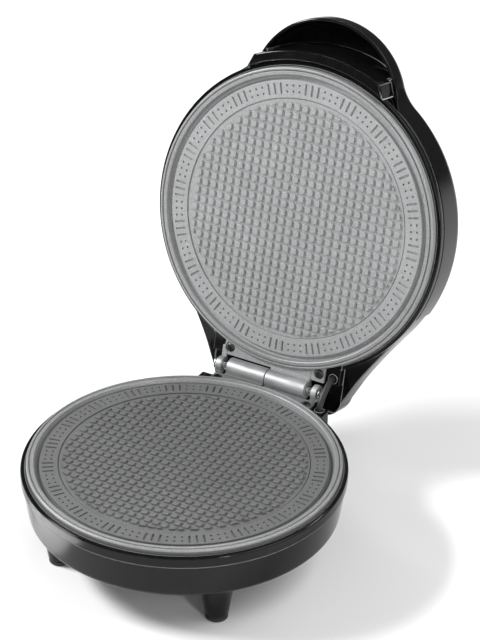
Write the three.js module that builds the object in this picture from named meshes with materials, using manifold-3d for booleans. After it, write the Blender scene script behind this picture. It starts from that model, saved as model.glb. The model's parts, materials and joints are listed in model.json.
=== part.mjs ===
// Waffle cone maker: a round base on four legs and a hinged lid, each with a cast baking plate.
// Millimetres, +Z up, handle side towards -Y, hinge at the rear towards +Y, lid standing open.
import * as THREE from "three";
import { mergeVertices } from "three/addons/utils/BufferGeometryUtils.js";
import Module from "manifold-3d";

const wasm = await Module();
wasm.setup();

// ---------------------------------------------------------------- driving dimensions

const bakingRadius = 90; // flat disc that bakes the wafer
const plateHeight = 62; // baking face of the lower plate above the table
const halfWafer = 1.4; // half of the wafer's thickness, so the hinge axis lies this far above the face
const openAngle = THREE.MathUtils.degToRad(104); // lid from closed to its stop
const gap = 0.3; // clearance between separate pieces

const bodyRadius = bakingRadius * 1.13; // outside of the base collar and of the lid
const bodyDepth = bakingRadius * 0.378; // baking face to the underside of the base
const lidDepth = bakingRadius * 0.43; // baking face to the top of the lid
const plateThickness = 5;
const rimHeight = 1.2; // rim above the baking face
const rimRadius = bakingRadius * 1.091; // outside of a plate
const seamDepth = 9; // lower edge of the base collar
const wall = 2; // moulded wall thickness

const hingeY = bakingRadius * 1.202;
const barrelRadius = 6.3;
const pinRadius = 2.5;
const tabHalfWidth = 37;
const tabTop = -0.8; // face of a hinge tab, below the baking face
const tabBottom = -3.2;
const tabEnd = hingeY - barrelRadius - 0.4;
const tabScrewX = 33;
const tabScrewY = 96;

const legCircle = bakingRadius * 0.89; // front leg axes from the centre
const [rearLegX, rearLegY] = [40, 84]; // far back, so that the open lid does not tip the machine over
const legTipRadius = 7;
const legTip = -plateHeight + 3.3; // lower end of a leg, above its rubber foot
const flangeInner = 58; // opening in the underside of the base shell
const coverRadius = 66; // sheet cover under that opening
const coverScrewCircle = 62.4;
const glandAngle = 150; // cord inlet, in degrees round the base
const glandDepth = -20;
const glandRadius = 5.6;
const seatHalfWidth = 47; // block that a hinge tab is screwed to
const shieldDepth = 15; // baking face to the face of a heat shield

const linkX = 42; // lead between base and lid, just beside the hinge
const linkBaseY = 98;
const linkLidY = 97.5;
const linkRadius = 2;

const lidSeam = 7; // depth of the seam between the lid's inner shell and its cover
const roofDepth = 28.8; // top of the inner shell behind the cover
const coverEnd = bakingRadius * 0.5; // the cover stops here, short of the hinge
const tailFront = 9;
const tailEnd = bakingRadius * 1.4;
const roofScrewX = 46; // screws from the inner shell up into the cover
const roofScrewY = 34;
const hoodY = -bakingRadius * 0.84; // centre of the hood handle's arc
const hoodRadius = bakingRadius * 0.588;
const hoodLip = 17; // depth of the hood's free edge
const hoodDrop = 1.4; // the hood's top below the top of the lid
const recessRadius = bodyRadius + 6.6; // inner wall of the finger recess
const gripFront = 0.6; // front face of the inner grip, level with the plate's rim
const gripBack = 9;
const gripHalfAngle = 26;
const lensX = 9;
const lensY = -58;
const lensRadius = 2.8;
const boardDepth = lidDepth - 7.6;

const far = 200; // half size of blocks that only cut
const ringSegments = 40;

// ---------------------------------------------------------------- solids from three.js geometry

// A closed geometry as a solid whose faces point outwards.
function solid(geometry) {
  const bare = geometry.index ? geometry.toNonIndexed() : geometry.clone();
  bare.deleteAttribute("normal");
  bare.deleteAttribute("uv");
  const merged = mergeVertices(bare, 1e-4);
  const index = merged.index.array;
  const faces = [];
  for (let i = 0; i < index.length; i += 3) {
    const [a, b, c] = [index[i], index[i + 1], index[i + 2]];
    if (a !== b && b !== c && c !== a) faces.push([a, b, c]);
  }
  const vertProperties = merged.attributes.position.array;
  const build = (list) => {
    const triVerts = new Uint32Array(list.flat());
    return new wasm.Manifold(new wasm.Mesh({ numProp: 3, vertProperties, triVerts }));
  };
  const made = build(faces);
  return made.volume() > 0 ? made : build(faces.map(([a, b, c]) => [a, c, b]));
}

function join(first, ...others) {
  return others.reduce((sum, one) => sum.add(one), first);
}

function cut(first, ...others) {
  return others.reduce((rest, one) => rest.subtract(one), first);
}

// The solid's surface as a geometry that three.js draws.
function geometryOf(made) {
  const mesh = made.getMesh();
  const geometry = new THREE.BufferGeometry();
  geometry.setAttribute("position", new THREE.BufferAttribute(mesh.vertProperties, 3));
  geometry.setIndex(new THREE.BufferAttribute(mesh.triVerts, 1));
  const flat = geometry.toNonIndexed();
  flat.computeVertexNormals();
  return flat;
}

// A ring or disc turned about the Z axis from [radius, height] points.
function turned(points, segments = ringSegments) {
  const outline = points.map(([r, z]) => new THREE.Vector2(r, z));
  const closedOnAxis = points[0][0] === 0 && points[points.length - 1][0] === 0;
  if (!closedOnAxis) outline.push(outline[0].clone());
  const geometry = new THREE.LatheGeometry(outline, segments);
  geometry.rotateX(Math.PI / 2);
  return solid(geometry);
}

// A box between two corners.
function block([x0, y0, z0], [x1, y1, z1]) {
  const geometry = new THREE.BoxGeometry(x1 - x0, y1 - y0, z1 - z0);
  geometry.translate((x0 + x1) / 2, (y0 + y1) / 2, (z0 + z1) / 2);
  return solid(geometry);
}

// An upright cylinder or cone at (x, y) between two heights.
function post(x, y, z0, z1, radiusLow, radiusHigh = radiusLow, segments = 12) {
  const geometry = new THREE.CylinderGeometry(radiusHigh, radiusLow, z1 - z0, segments);
  geometry.rotateX(Math.PI / 2);
  geometry.translate(x, y, (z0 + z1) / 2);
  return solid(geometry);
}

// A cylinder along X through the hinge axis.
function hingeRod(x0, x1, radius, segments = 20) {
  const geometry = new THREE.CylinderGeometry(radius, radius, x1 - x0, segments);
  geometry.rotateZ(Math.PI / 2);
  geometry.translate((x0 + x1) / 2, hingeY, halfWafer);
  return solid(geometry);
}

// An outline in the XY plane, raised from one height to another.
function prism(shape, z0, z1, curveSegments = 16) {
  const geometry = new THREE.ExtrudeGeometry(shape, { depth: z1 - z0, bevelEnabled: false, curveSegments });
  geometry.translate(0, 0, z0);
  return solid(geometry);
}

// A solid through outlines with equal numbers of points, each at its own height.
function lofted(levels) {
  const count = levels[0][1].length;
  const positions = levels.flatMap(([z, points]) => points.flatMap((p) => [p.x, p.y, z]));
  const faces = [];
  for (let level = 0; level + 1 < levels.length; level += 1) {
    for (let i = 0; i < count; i += 1) {
      const next = (i + 1) % count;
      const [a, b] = [level * count + i, level * count + next];
      faces.push([a, b, b + count], [a, b + count, a + count]);
    }
  }
  const lowest = THREE.ShapeUtils.triangulateShape(levels[0][1], []);
  const highest = THREE.ShapeUtils.triangulateShape(levels[levels.length - 1][1], []);
  const top = (levels.length - 1) * count;
  faces.push(...lowest.map(([a, b, c]) => [a, c, b]));
  faces.push(...highest.map(([a, b, c]) => [a + top, b + top, c + top]));
  const geometry = new THREE.BufferGeometry();
  geometry.setAttribute("position", new THREE.Float32BufferAttribute(positions, 3));
  geometry.setIndex(faces.flat());
  return solid(geometry);
}

// A round bar along a curve.
function bar(curve, radius, steps) {
  const section = new THREE.Shape();
  section.absarc(0, 0, radius, 0, 2 * Math.PI, false);
  const geometry = new THREE.ExtrudeGeometry(section, {
    extrudePath: curve,
    steps,
    curveSegments: 4,
    bevelEnabled: false,
  });
  return solid(geometry);
}

// A solid turned upside down in Z, for the pieces that the lid shares with the base.
function flipped(made) {
  const geometry = geometryOf(made);
  geometry.scale(1, 1, -1);
  return solid(geometry);
}

function polar(radius, degrees) {
  const angle = THREE.MathUtils.degToRad(degrees);
  return [radius * Math.cos(angle), radius * Math.sin(angle)];
}

// ---------------------------------------------------------------- materials

function material(color, roughness, metalness) {
  return new THREE.MeshStandardMaterial({ color, roughness, metalness });
}

const glossBlack = material(0x0b0b0c, 0.12, 0);
const rubberBlack = material(0x161616, 0.8, 0);
const lowerCoating = material(0x6f7173, 0.55, 0.35);
const upperCoating = material(0xa9abad, 0.5, 0.35);
const pinSteel = material(0xb8babc, 0.25, 1);
const screwSteel = material(0x5a5c5e, 0.4, 0.9);
const shieldSteel = material(0x9ea1a3, 0.35, 0.9);
const sheathSteel = material(0x6a6460, 0.5, 0.8);
const coatedSteel = material(0x202122, 0.55, 0.4);
const mattBlack = material(0x1c1c1d, 0.6, 0);
const ceramicWhite = material(0xe8e4d8, 0.6, 0);
const boardGreen = material(0x2d5a3a, 0.6, 0);
const redLens = material(0xb3261e, 0.15, 0);
const greenLens = material(0x2f8f46, 0.15, 0);

// ---------------------------------------------------------------- scene graph

const coneMaker = new THREE.Group();

// The base's pieces are placed with the lower baking face at height 0.
const base = new THREE.Group();
base.position.z = plateHeight;
coneMaker.add(base);

// The lid turns about the hinge. Inside it, height 0 is the upper baking face and +Z is the lid's depth.
const lidHinge = new THREE.Group();
lidHinge.position.set(0, hingeY, halfWafer);
lidHinge.rotation.x = -openAngle;
base.add(lidHinge);
const lid = new THREE.Group();
lid.position.set(0, -hingeY, halfWafer);
lidHinge.add(lid);

function place(group, name, made, finish) {
  const mesh = new THREE.Mesh(geometryOf(made), finish);
  mesh.name = name;
  group.add(mesh);
}

// ---------------------------------------------------------------- baking plates

// A cast plate, baking face up: disc, drip channel, rim, hinge tab, one barrel and one end ear.
function bakingPlate([barrelFrom, barrelTo], [earFrom, earTo]) {
  const channelDepth = 1.4;
  const lip = rimRadius - 1.2;
  const disc = turned([
    [0, 0],
    [bakingRadius, 0],
    [bakingRadius + 0.8, -channelDepth],
    [bakingRadius + 2.6, -channelDepth],
    [bakingRadius + 3.6, rimHeight],
    [lip, rimHeight],
    [rimRadius, 0],
    [rimRadius, -3],
    [rimRadius - 4.2, -3],
    [rimRadius - 4.2, -plateThickness],
    [0, -plateThickness],
  ]);
  const tab = block([-tabHalfWidth, rimRadius - 10, tabBottom], [tabHalfWidth, tabEnd, tabTop]);
  const barrelWeb = block([barrelFrom, tabEnd - 6, tabBottom], [barrelTo, hingeY - 2, tabTop]);
  const earWeb = block([earFrom, tabEnd - 6, tabBottom], [earTo, hingeY - 2, tabTop]);
  const stud = post(0, 0, -shieldDepth + gap, -plateThickness + 1, 5);
  const whole = join(
    disc,
    tab,
    barrelWeb,
    earWeb,
    stud,
    hingeRod(barrelFrom, barrelTo, barrelRadius),
    hingeRod(earFrom, earTo, barrelRadius - 0.8),
  );
  const screwHoles = [-tabScrewX, tabScrewX].map((x) => post(x, tabScrewY, -10, 5, 2));
  const studHole = post(0, 0, -shieldDepth - 1, -plateThickness - 2, 1.9, 1.9, 12);
  return cut(whole, hingeRod(-60, 60, pinRadius + gap), ...screwHoles, studHole);
}

// The two barrels fill the space between the two ears.
place(base, "lower_plate", bakingPlate([-30, -2], [28.5, 36]), lowerCoating);
place(lid, "upper_plate", flipped(bakingPlate([-1.5, 27.5], [-38.5, -31])), upperCoating);

// ---------------------------------------------------------------- heating parts, shared by base and lid

// A sheathed element: an open ring under the plate with both ends bent away from it.
function heatingElement() {
  const ringRadius = bakingRadius * 0.69;
  const ringHeight = -plateThickness - gap - 3.3;
  const openingDegrees = 16;
  const points = [];
  const turns = 32;
  const [startX, startY] = polar(ringRadius, 90 + openingDegrees);
  points.push(new THREE.Vector3(startX + 5, startY - 3, ringHeight - 2.4));
  for (let i = 0; i <= turns; i += 1) {
    const degrees = 90 + openingDegrees + ((360 - 2 * openingDegrees) * i) / turns;
    const [x, y] = polar(ringRadius, degrees);
    points.push(new THREE.Vector3(x, y, ringHeight));
  }
  points.push(new THREE.Vector3(-startX - 5, startY - 3, ringHeight - 2.4));
  return bar(new THREE.CatmullRomCurve3(points), 3.2, 40);
}

// A pressed dish that keeps the heat off the moulded shell.
function heatShield() {
  const edge = bakingRadius * 0.97;
  const sheet = 0.8;
  return turned(
    [
      [2.4, -shieldDepth],
      [edge - 4, -shieldDepth],
      [edge, -shieldDepth + 6],
      [edge + 2, -shieldDepth + 6],
      [edge + 2, -shieldDepth + 6 - sheet],
      [edge + 0.5, -shieldDepth + 6 - sheet],
      [edge - 3.5, -shieldDepth - sheet],
      [2.4, -shieldDepth - sheet],
    ],
    32,
  );
}

function screw(x, y, headTop, headHeight, length, headRadius = 3.1) {
  const head = post(x, y, headTop - headHeight, headTop, headRadius, headRadius * 0.8, 16);
  const shank = post(x, y, headTop - headHeight - length, headTop - headHeight + 0.2, 1.6, 1.6, 12);
  return join(head, shank);
}

// A screw driven from below, head down.
function screwUp(x, y, headBottom, headHeight, length, headRadius = 3) {
  const head = post(x, y, headBottom, headBottom + headHeight, headRadius * 0.8, headRadius, 16);
  const shank = post(x, y, headBottom + headHeight - 0.2, headBottom + headHeight + length, 1.5, 1.5, 12);
  return join(head, shank);
}

place(base, "lower_heating_element", heatingElement(), sheathSteel);
place(lid, "upper_heating_element", flipped(heatingElement()), sheathSteel);
place(base, "lower_heat_shield", heatShield(), shieldSteel);
place(lid, "upper_heat_shield", flipped(heatShield()), shieldSteel);

const shieldScrew = screwUp(0, 0, -shieldDepth - 0.9 - 1.6, 1.6, 6);
place(base, "lower_shield_screw", shieldScrew, screwSteel);
place(lid, "upper_shield_screw", flipped(shieldScrew), screwSteel);

[["left", -tabScrewX], ["right", tabScrewX]].forEach(([side, x]) => {
  const tabScrew = screw(x, tabScrewY, tabTop + 1.5, 1.4, 9);
  place(base, `lower_plate_screw_${side}`, tabScrew, screwSteel);
  place(lid, `upper_plate_screw_${side}`, flipped(tabScrew), screwSteel);
});

// ---------------------------------------------------------------- hinge pin

const pinHead = -39; // inner face of the pin's head
const pinTip = 38.6;
place(
  base,
  "hinge_pin",
  join(hingeRod(pinHead, pinTip, pinRadius), hingeRod(pinHead - 1.6, pinHead, pinRadius + 1.6)),
  pinSteel,
);
place(
  base,
  "hinge_pin_clip",
  cut(hingeRod(pinTip - 2, pinTip - 1, pinRadius + 1.8), hingeRod(0, 60, pinRadius + 0.15)),
  pinSteel,
);

// ---------------------------------------------------------------- base

const legPlaces = {
  front_left: polar(legCircle, -135),
  front_right: polar(legCircle, -45),
  rear_right: [rearLegX, rearLegY],
  rear_left: [-rearLegX, rearLegY],
};

function leg(x, y) {
  const root = y > 0 ? -16 : -bodyDepth + wall; // rear legs reach up to the hinge seat
  const flare = post(x, y, -bodyDepth - 2.6, root, 9.8, 12.6, 18);
  const cone = post(x, y, legTip, root, legTipRadius + 0.3, 10.2, 18);
  return join(flare, cone);
}

function legHollow(x, y) {
  const hollow = post(x, y, legTip + 2.4, -bodyDepth + wall + 0.3, legTipRadius - 1.8, 8.2);
  const footHole = post(x, y, legTip - 1, legTip + 3, 2.2);
  return join(hollow, footHole);
}

// A cylinder that leaves the base's wall squarely at the cord inlet.
function glandRod(from, to, radius) {
  const geometry = new THREE.CylinderGeometry(radius, radius, to - from, 20);
  geometry.rotateZ(-Math.PI / 2);
  geometry.translate((from + to) / 2, 0, glandDepth);
  geometry.rotateZ(THREE.MathUtils.degToRad(glandAngle));
  return solid(geometry);
}

// The block under a hinge tab, outside the plate's underside and the wall's inner face.
function hingeSeat() {
  const whole = block([-seatHalfWidth, bakingRadius * 0.8, -15], [seatHalfWidth, tabEnd, tabBottom - gap]);
  const underside = -plateThickness - gap;
  const underPlate = turned([
    [0, 1],
    [rimRadius - 3.8, 1],
    [rimRadius - 3.8, underside],
    [0, underside],
  ]);
  const inside = turned([
    [0, underside + 0.2],
    [bodyRadius - wall - 1.6, underside + 0.2],
    [bodyRadius - wall - 1.6, -20],
    [0, -20],
  ]);
  return cut(whole, underPlate, inside);
}

const coverScrewPlaces = [0, 90, 180, 270].map((degrees) => polar(coverScrewCircle, degrees));

// The bowl with its hinge seat and four hollow legs, open at the top and underneath.
function baseShell() {
  const inner = bodyRadius - wall;
  const bowl = turned([
    [bodyRadius - 0.8, -seamDepth - gap],
    [bodyRadius - 1.3, -16],
    [bodyRadius - 2.3, -22],
    [bodyRadius - 3.5, -26.2],
    [bodyRadius - 5.4, -29],
    [bodyRadius - 8.6, -31.4],
    [bodyRadius - 13, -33],
    [bodyRadius - 18, -bodyDepth],
    [flangeInner, -bodyDepth],
    [flangeInner, -bodyDepth + wall],
    [inner - 13, -31],
    [inner - 6.5, -28.6],
    [inner - 3.6, -25],
    [inner - 2.2, -19],
    [inner - 1, -seamDepth - gap],
  ]);
  const places = Object.values(legPlaces);
  const screwHoles = [-tabScrewX, tabScrewX].map((x) => post(x, tabScrewY, -14, 0, 1.9));
  const cableHole = post(linkX, linkBaseY, -20, 0, linkRadius + 1, linkRadius + 1, 16);
  const coverHoles = coverScrewPlaces.map(([x, y]) => post(x, y, -40, -28, 1.8));
  return cut(
    join(bowl, hingeSeat(), ...places.map(([x, y]) => leg(x, y))),
    ...places.map(([x, y]) => legHollow(x, y)),
    ...screwHoles,
    ...coverHoles,
    cableHole,
    glandRod(80, 120, glandRadius + gap),
  );
}

place(base, "base_shell", baseShell(), glossBlack);

// The collar carries the lower plate's rim and closes the top of the bowl.
function collar() {
  const ring = turned([
    [rimRadius + 0.5, -2.2],
    [bodyRadius - 0.7, -2.2],
    [bodyRadius, -3],
    [bodyRadius, -seamDepth + 0.6],
    [bodyRadius - 0.6, -seamDepth],
    [rimRadius - 3.4, -seamDepth],
    [rimRadius - 3.4, -3 - gap],
    [rimRadius + 0.5, -3 - gap],
  ]);
  const hingeNotch = block([-seatHalfWidth - gap, 60, -20], [seatHalfWidth + gap, 120, 0]);
  return cut(ring, hingeNotch);
}

place(base, "base_collar_ring", collar(), glossBlack);

// A sheet disc with cooling slots that closes the opening in the underside.
function bottomCover() {
  const top = -bodyDepth - gap;
  const plate = turned(
    [
      [0, top],
      [coverRadius, top],
      [coverRadius, top - 1.2],
      [coverRadius - 1, top - wall],
      [0, top - wall],
    ],
    32,
  );
  const slots = [-2, -1, 0, 1, 2].map((i) => block([-16, i * 9 - 1.5, -50], [16, i * 9 + 1.5, -20]));
  const screwHoles = coverScrewPlaces.map(([x, y]) => post(x, y, -50, -20, 1.8));
  return cut(plate, ...slots, ...screwHoles);
}

place(base, "base_bottom_cover", bottomCover(), coatedSteel);
["right", "rear", "left", "front"].forEach((side, i) => {
  const [x, y] = coverScrewPlaces[i];
  const head = -bodyDepth - gap - wall - 0.1;
  place(base, `bottom_cover_screw_${side}`, screwUp(x, y, head - 1.6, 1.6, 6), screwSteel);
});

Object.entries(legPlaces).forEach(([corner, [x, y]]) => {
  const pad = join(
    post(x, y, -plateHeight, -plateHeight + 1.2, legTipRadius - 1.4, legTipRadius, 18),
    post(x, y, -plateHeight + 1.2, -plateHeight + 3, legTipRadius, legTipRadius, 18),
    post(x, y, -plateHeight + 2, -plateHeight + 7.5, 1.8),
  );
  place(base, `foot_${corner}`, pad, rubberBlack);
});

// A bushing through the wall with a flange outside and a bore for a cord.
const glandBody = join(glandRod(94, 108, glandRadius), glandRod(101, 102.6, glandRadius + 1.6));
place(base, "cord_gland", cut(glandBody, glandRod(80, 120, 3.4)), rubberBlack);

const [stripY, stripZ] = [34, -bodyDepth + gap];
function terminalStrip() {
  const strip = block([-16, stripY, stripZ], [16, stripY + 12, stripZ + 9]);
  const wireWays = [-10, 0, 10].map((x) =>
    block([x - 2.6, stripY - 1, stripZ + 4], [x + 2.6, stripY + 13, stripZ + 7]),
  );
  return cut(strip, ...wireWays);
}
place(base, "terminal_block", terminalStrip(), ceramicWhite);

const [thermostatX, thermostatY] = [34, -26];
const thermostatTop = -plateThickness - gap;
const thermostatBracket = block(
  [thermostatX - 12, thermostatY - 4, thermostatTop - 2],
  [thermostatX + 12, thermostatY + 4, thermostatTop - 0.8],
);
const thermostatCase = post(thermostatX, thermostatY, thermostatTop - 8.5, thermostatTop, 7.6, 7.6, 24);
place(base, "thermostat", join(thermostatCase, thermostatBracket), mattBlack);

const fuseY = -30;
place(
  base,
  "thermal_fuse",
  join(
    block([-34, fuseY - 2.4, thermostatTop - 5], [-14, fuseY + 2.4, thermostatTop]),
    block([-40, fuseY - 0.6, thermostatTop - 3], [-8, fuseY + 0.6, thermostatTop - 1.8]),
  ),
  ceramicWhite,
);

// ---------------------------------------------------------------- lid

// The tail's outline: narrower towards its rounded end. "inset" moves the sides in.
function tailOutline(inset) {
  const wideY = bakingRadius * 0.72;
  const wide = bakingRadius * 0.79 - inset;
  const narrow = bakingRadius * 0.535 - inset;
  const end = tailEnd - inset;
  const corner = 11 - inset;
  const shape = new THREE.Shape();
  shape.moveTo(-wide, wideY);
  shape.lineTo(-narrow, end - corner);
  shape.quadraticCurveTo(-narrow + 1.5, end, -narrow + corner + 2, end);
  shape.lineTo(narrow - corner - 2, end);
  shape.quadraticCurveTo(narrow - 1.5, end, narrow, end - corner);
  shape.lineTo(wide, wideY);
  shape.closePath();
  return shape;
}

// The moulding that carries the upper plate, with its rear wall, roof and hollow tail.
function lidInnerShell() {
  const outer = bodyRadius - wall - gap;
  const band = turned([
    [rimRadius + 0.5, 3],
    [bodyRadius - 1.2, 3],
    [bodyRadius, 4.2],
    [bodyRadius, lidSeam],
    [outer, lidSeam],
    [outer, roofDepth - 5],
    [outer - 1.9, roofDepth],
    [outer - wall - 1.9, roofDepth],
    [outer - wall, roofDepth - 5.2],
    [outer - wall, 5],
    [rimRadius + 0.5, 5],
  ]);
  const rear = block([-far, coverEnd + gap, 0], [far, far, 60]);
  const rearWall = turned([
    [outer - 2, 4.4],
    [bodyRadius, 4.4],
    [bodyRadius, roofDepth - 2.2],
    [bodyRadius - 2.2, roofDepth],
    [outer - 2, roofDepth],
  ]).intersect(rear);
  const roofUnderCover = block([-outer, bakingRadius * 0.28, 0], [outer, coverEnd + 1, 60]);
  const roof = join(
    turned([
      [0, roofDepth - wall],
      [bodyRadius - 2.4, roofDepth - wall],
      [bodyRadius - 2.4, roofDepth],
      [0, roofDepth],
    ]).intersect(rear),
    turned([
      [0, roofDepth - wall],
      [outer - 2, roofDepth - wall],
      [outer - 2, roofDepth],
      [0, roofDepth],
    ]).intersect(roofUnderCover),
  );
  const insideBand = turned([
    [0, 2],
    [outer - wall, 2],
    [outer - wall, roofDepth - wall],
    [0, roofDepth - wall],
  ]);
  const tail = prism(tailOutline(0), tailFront, roofDepth);
  const tailRoom = prism(tailOutline(wall), tailFront - 1, roofDepth - wall);
  const notchHalf = seatHalfWidth + gap;
  const notchEnd = tailEnd - 4;
  const barrelRoom = block([-notchHalf, tabEnd - 0.01, -10], [notchHalf, notchEnd, tailFront + 0.6]);
  const tabRoom = block([-notchHalf, 60, -10], [notchHalf, notchEnd, -tabBottom + gap]);
  const screwHoles = [-tabScrewX, tabScrewX].map((x) => post(x, tabScrewY, 0, 14.9, 1.9));
  const roofHoles = [-1, 1].map((side) => post(side * roofScrewX, roofScrewY, 20, 40, 1.8));
  const cableHole = post(linkX, linkLidY, 0, 20, linkRadius + 1, linkRadius + 1, 16);
  const wireWay = block([-20, rimRadius - 12, 16], [20, bodyRadius + 4, roofDepth - wall - 2]);
  const hollowTail = cut(tail, tailRoom);
  const shellAndTail = join(band, rearWall, roof, cut(hollowTail, insideBand), flipped(hingeSeat()));
  return cut(
    shellAndTail,
    barrelRoom,
    tabRoom,
    ...screwHoles,
    ...roofHoles,
    cableHole,
    wireWay,
  );
}

place(lid, "lid_inner_shell", lidInnerShell(), glossBlack);

// The hood's outline: an arc about hoodY that flows into the lid's round wall on both sides.
function hoodOutline(inset) {
  const round = bodyRadius - inset;
  const hood = hoodRadius - inset;
  const fillet = 30 + inset;
  const filletY = ((hood + fillet) ** 2 - (round + fillet) ** 2 - hoodY ** 2) / (-2 * hoodY);
  const filletX = Math.sqrt((round + fillet) ** 2 - filletY ** 2);
  const towardsLid = Math.atan2(-filletY, -filletX);
  const towardsHood = Math.atan2(hoodY - filletY, -filletX);
  const hoodStart = Math.atan2(filletY - hoodY, filletX);
  const shape = new THREE.Shape();
  shape.absarc(filletX, filletY, fillet, towardsLid, towardsHood, false);
  shape.absarc(0, hoodY, hood, hoodStart, -Math.PI - hoodStart, true);
  shape.absarc(-filletX, filletY, fillet, Math.PI - towardsHood, Math.PI - towardsLid, false);
  shape.closePath();
  return shape;
}

// The outline as straight steps, counter-clockwise, without the repeated points where its arcs meet.
function stepped(shape, divisions) {
  const points = shape.getPoints(divisions);
  const kept = points.filter((p, i) => p.distanceTo(points[(i + 1) % points.length]) > 0.05);
  return THREE.ShapeUtils.isClockWise(kept) ? kept.reverse() : kept;
}

// The hood between two depths, its upper edge rounded over "edge" millimetres.
function hoodSolid(inset, from, top, edge) {
  const levels = [
    [from, inset],
    [top - edge, inset],
    [top - edge * 0.5, inset + edge * 0.13],
    [top - edge * 0.13, inset + edge * 0.5],
    [top, inset + edge],
  ];
  return lofted(levels.map(([z, offset]) => [z, stepped(hoodOutline(offset), 9)]));
}

// Half outline of the cover's dome, moved inwards, from its front edge to the middle of its top.
function domeProfile(inset, front) {
  const r = bodyRadius - inset;
  const top = lidDepth - inset;
  return [
    [0, front],
    [r, front],
    [r, 25],
    [r - 1, 28.8],
    [r - 3.4, 32.4],
    [r - 7.5, top - 2.6],
    [r - 13, top - 1.2],
    [r - 40, top - 0.3],
    [0, top],
  ];
}

// The domed cover and the hood handle as one moulding, hollow, with the finger recess behind the hood.
function lidOuterCover() {
  const coverFront = lidSeam + gap;
  const hoodTop = lidDepth - hoodDrop;
  const front = block([-far, -far, -20], [far, coverEnd, far]);
  const outside = join(turned(domeProfile(0, coverFront)), hoodSolid(0, coverFront, hoodTop, 7));
  const inside = turned(domeProfile(wall, coverFront - 5)).intersect(
    join(
      block([-far, -far, -20], [far, coverEnd - wall, far]),
      block([-far, coverEnd - wall - 1, -20], [far, far, roofDepth + gap]),
    ),
  );
  const insideRecessWall = turned([
    [0, -30],
    [recessRadius, -30],
    [recessRadius, 60],
    [0, 60],
  ]);
  const belowLip = cut(block([-far, -far, -20], [far, hoodY - 20, hoodLip]), insideRecessWall);
  const fingerRoom = cut(
    hoodSolid(wall + 0.4, -20, hoodTop - wall, 6),
    insideRecessWall,
    block([-far, hoodY - 19, -50], [far, far, far]),
  );
  const gripRoom = gripSector(gripFront - 1, gripBack + gap, gap);
  const bossPlaces = [-roofScrewX, roofScrewX];
  const bosses = bossPlaces.map((x) => post(x, roofScrewY, roofDepth + gap, lidDepth - 1, 4.2));
  const bossHoles = bossPlaces.map((x) => post(x, roofScrewY, 20, lidDepth - 4, 1.8));
  const lensHoles = [-lensX, lensX].map((x) => post(x, lensY, 20, 60, lensRadius + gap));
  const hollow = join(cut(outside.intersect(front), inside), ...bosses);
  return cut(hollow, fingerRoom, belowLip, gripRoom, ...bossHoles, ...lensHoles);
}

// A sector of the ring just outside the lid's wall, on the handle side.
function gripSector(from, to, spare) {
  const inner = bodyRadius + gap - spare;
  const outer = recessRadius + spare * 4;
  const half = THREE.MathUtils.degToRad(gripHalfAngle) + spare / recessRadius;
  const shape = new THREE.Shape();
  shape.absarc(0, 0, outer, -Math.PI / 2 - half * 0.93, -Math.PI / 2 + half * 0.93, false);
  shape.absarc(0, 0, inner, -Math.PI / 2 + half * 1.07, -Math.PI / 2 - half * 1.07, true);
  shape.closePath();
  return prism(shape, from, to, 20);
}

place(lid, "lid_outer_cover", lidOuterCover(), glossBlack);
place(lid, "handle_inner_grip", gripSector(gripFront, gripBack, 0), glossBlack);

[-1, 1].forEach((side) => {
  const name = side < 0 ? "lid_cover_screw_left" : "lid_cover_screw_right";
  const head = roofDepth - wall - 0.1;
  place(lid, name, screwUp(side * roofScrewX, roofScrewY, head - 1.6, 1.6, 6), screwSteel);
});

const lampBoard = block([-15, lensY - 8, boardDepth - 1.6], [15, lensY + 8, boardDepth]);
place(lid, "lamp_board", lampBoard, boardGreen);
[["power_lens", -lensX, redLens], ["ready_lens", lensX, greenLens]].forEach(([name, x, finish]) => {
  const stem = post(x, lensY, boardDepth + gap, lidDepth - 0.2, lensRadius);
  const crown = post(x, lensY, lidDepth - 0.3, lidDepth + 0.7, lensRadius, lensRadius * 0.6);
  const flange = post(x, lensY, boardDepth + gap + 1, boardDepth + gap + 2, lensRadius + 1.2);
  place(lid, name, join(stem, crown, flange), finish);
});

// ---------------------------------------------------------------- lead between base and lid

function linkLead() {
  const fromBase = new THREE.Vector3(linkX, linkBaseY, -12);
  const lidPoint = (y, depth) => {
    const point = new THREE.Vector3(linkX, y - hingeY, depth + halfWafer);
    point.applyAxisAngle(new THREE.Vector3(1, 0, 0), -openAngle);
    return point.add(new THREE.Vector3(0, hingeY, halfWafer));
  };
  const curve = new THREE.CatmullRomCurve3([
    fromBase,
    new THREE.Vector3(linkX, linkBaseY, -2),
    new THREE.Vector3(linkX, hingeY - 4.6, 5.4),
    lidPoint(linkLidY, 2.5),
    lidPoint(linkLidY, 13),
  ]);
  return bar(curve, linkRadius, 14);
}

place(base, "link_lead", linkLead(), mattBlack);

// ---------------------------------------------------------------- place the origin

// The origin is on the table, under the middle of the open machine.
const extent = new THREE.Box3().setFromObject(coneMaker);
coneMaker.position.y = -(extent.min.y + extent.max.y) / 2;

export default coneMaker;
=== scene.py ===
"""Waffle cone maker with its lid open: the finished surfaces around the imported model."""

import json
import math

import bmesh
import bpy
from mathutils import Matrix, Vector


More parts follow.
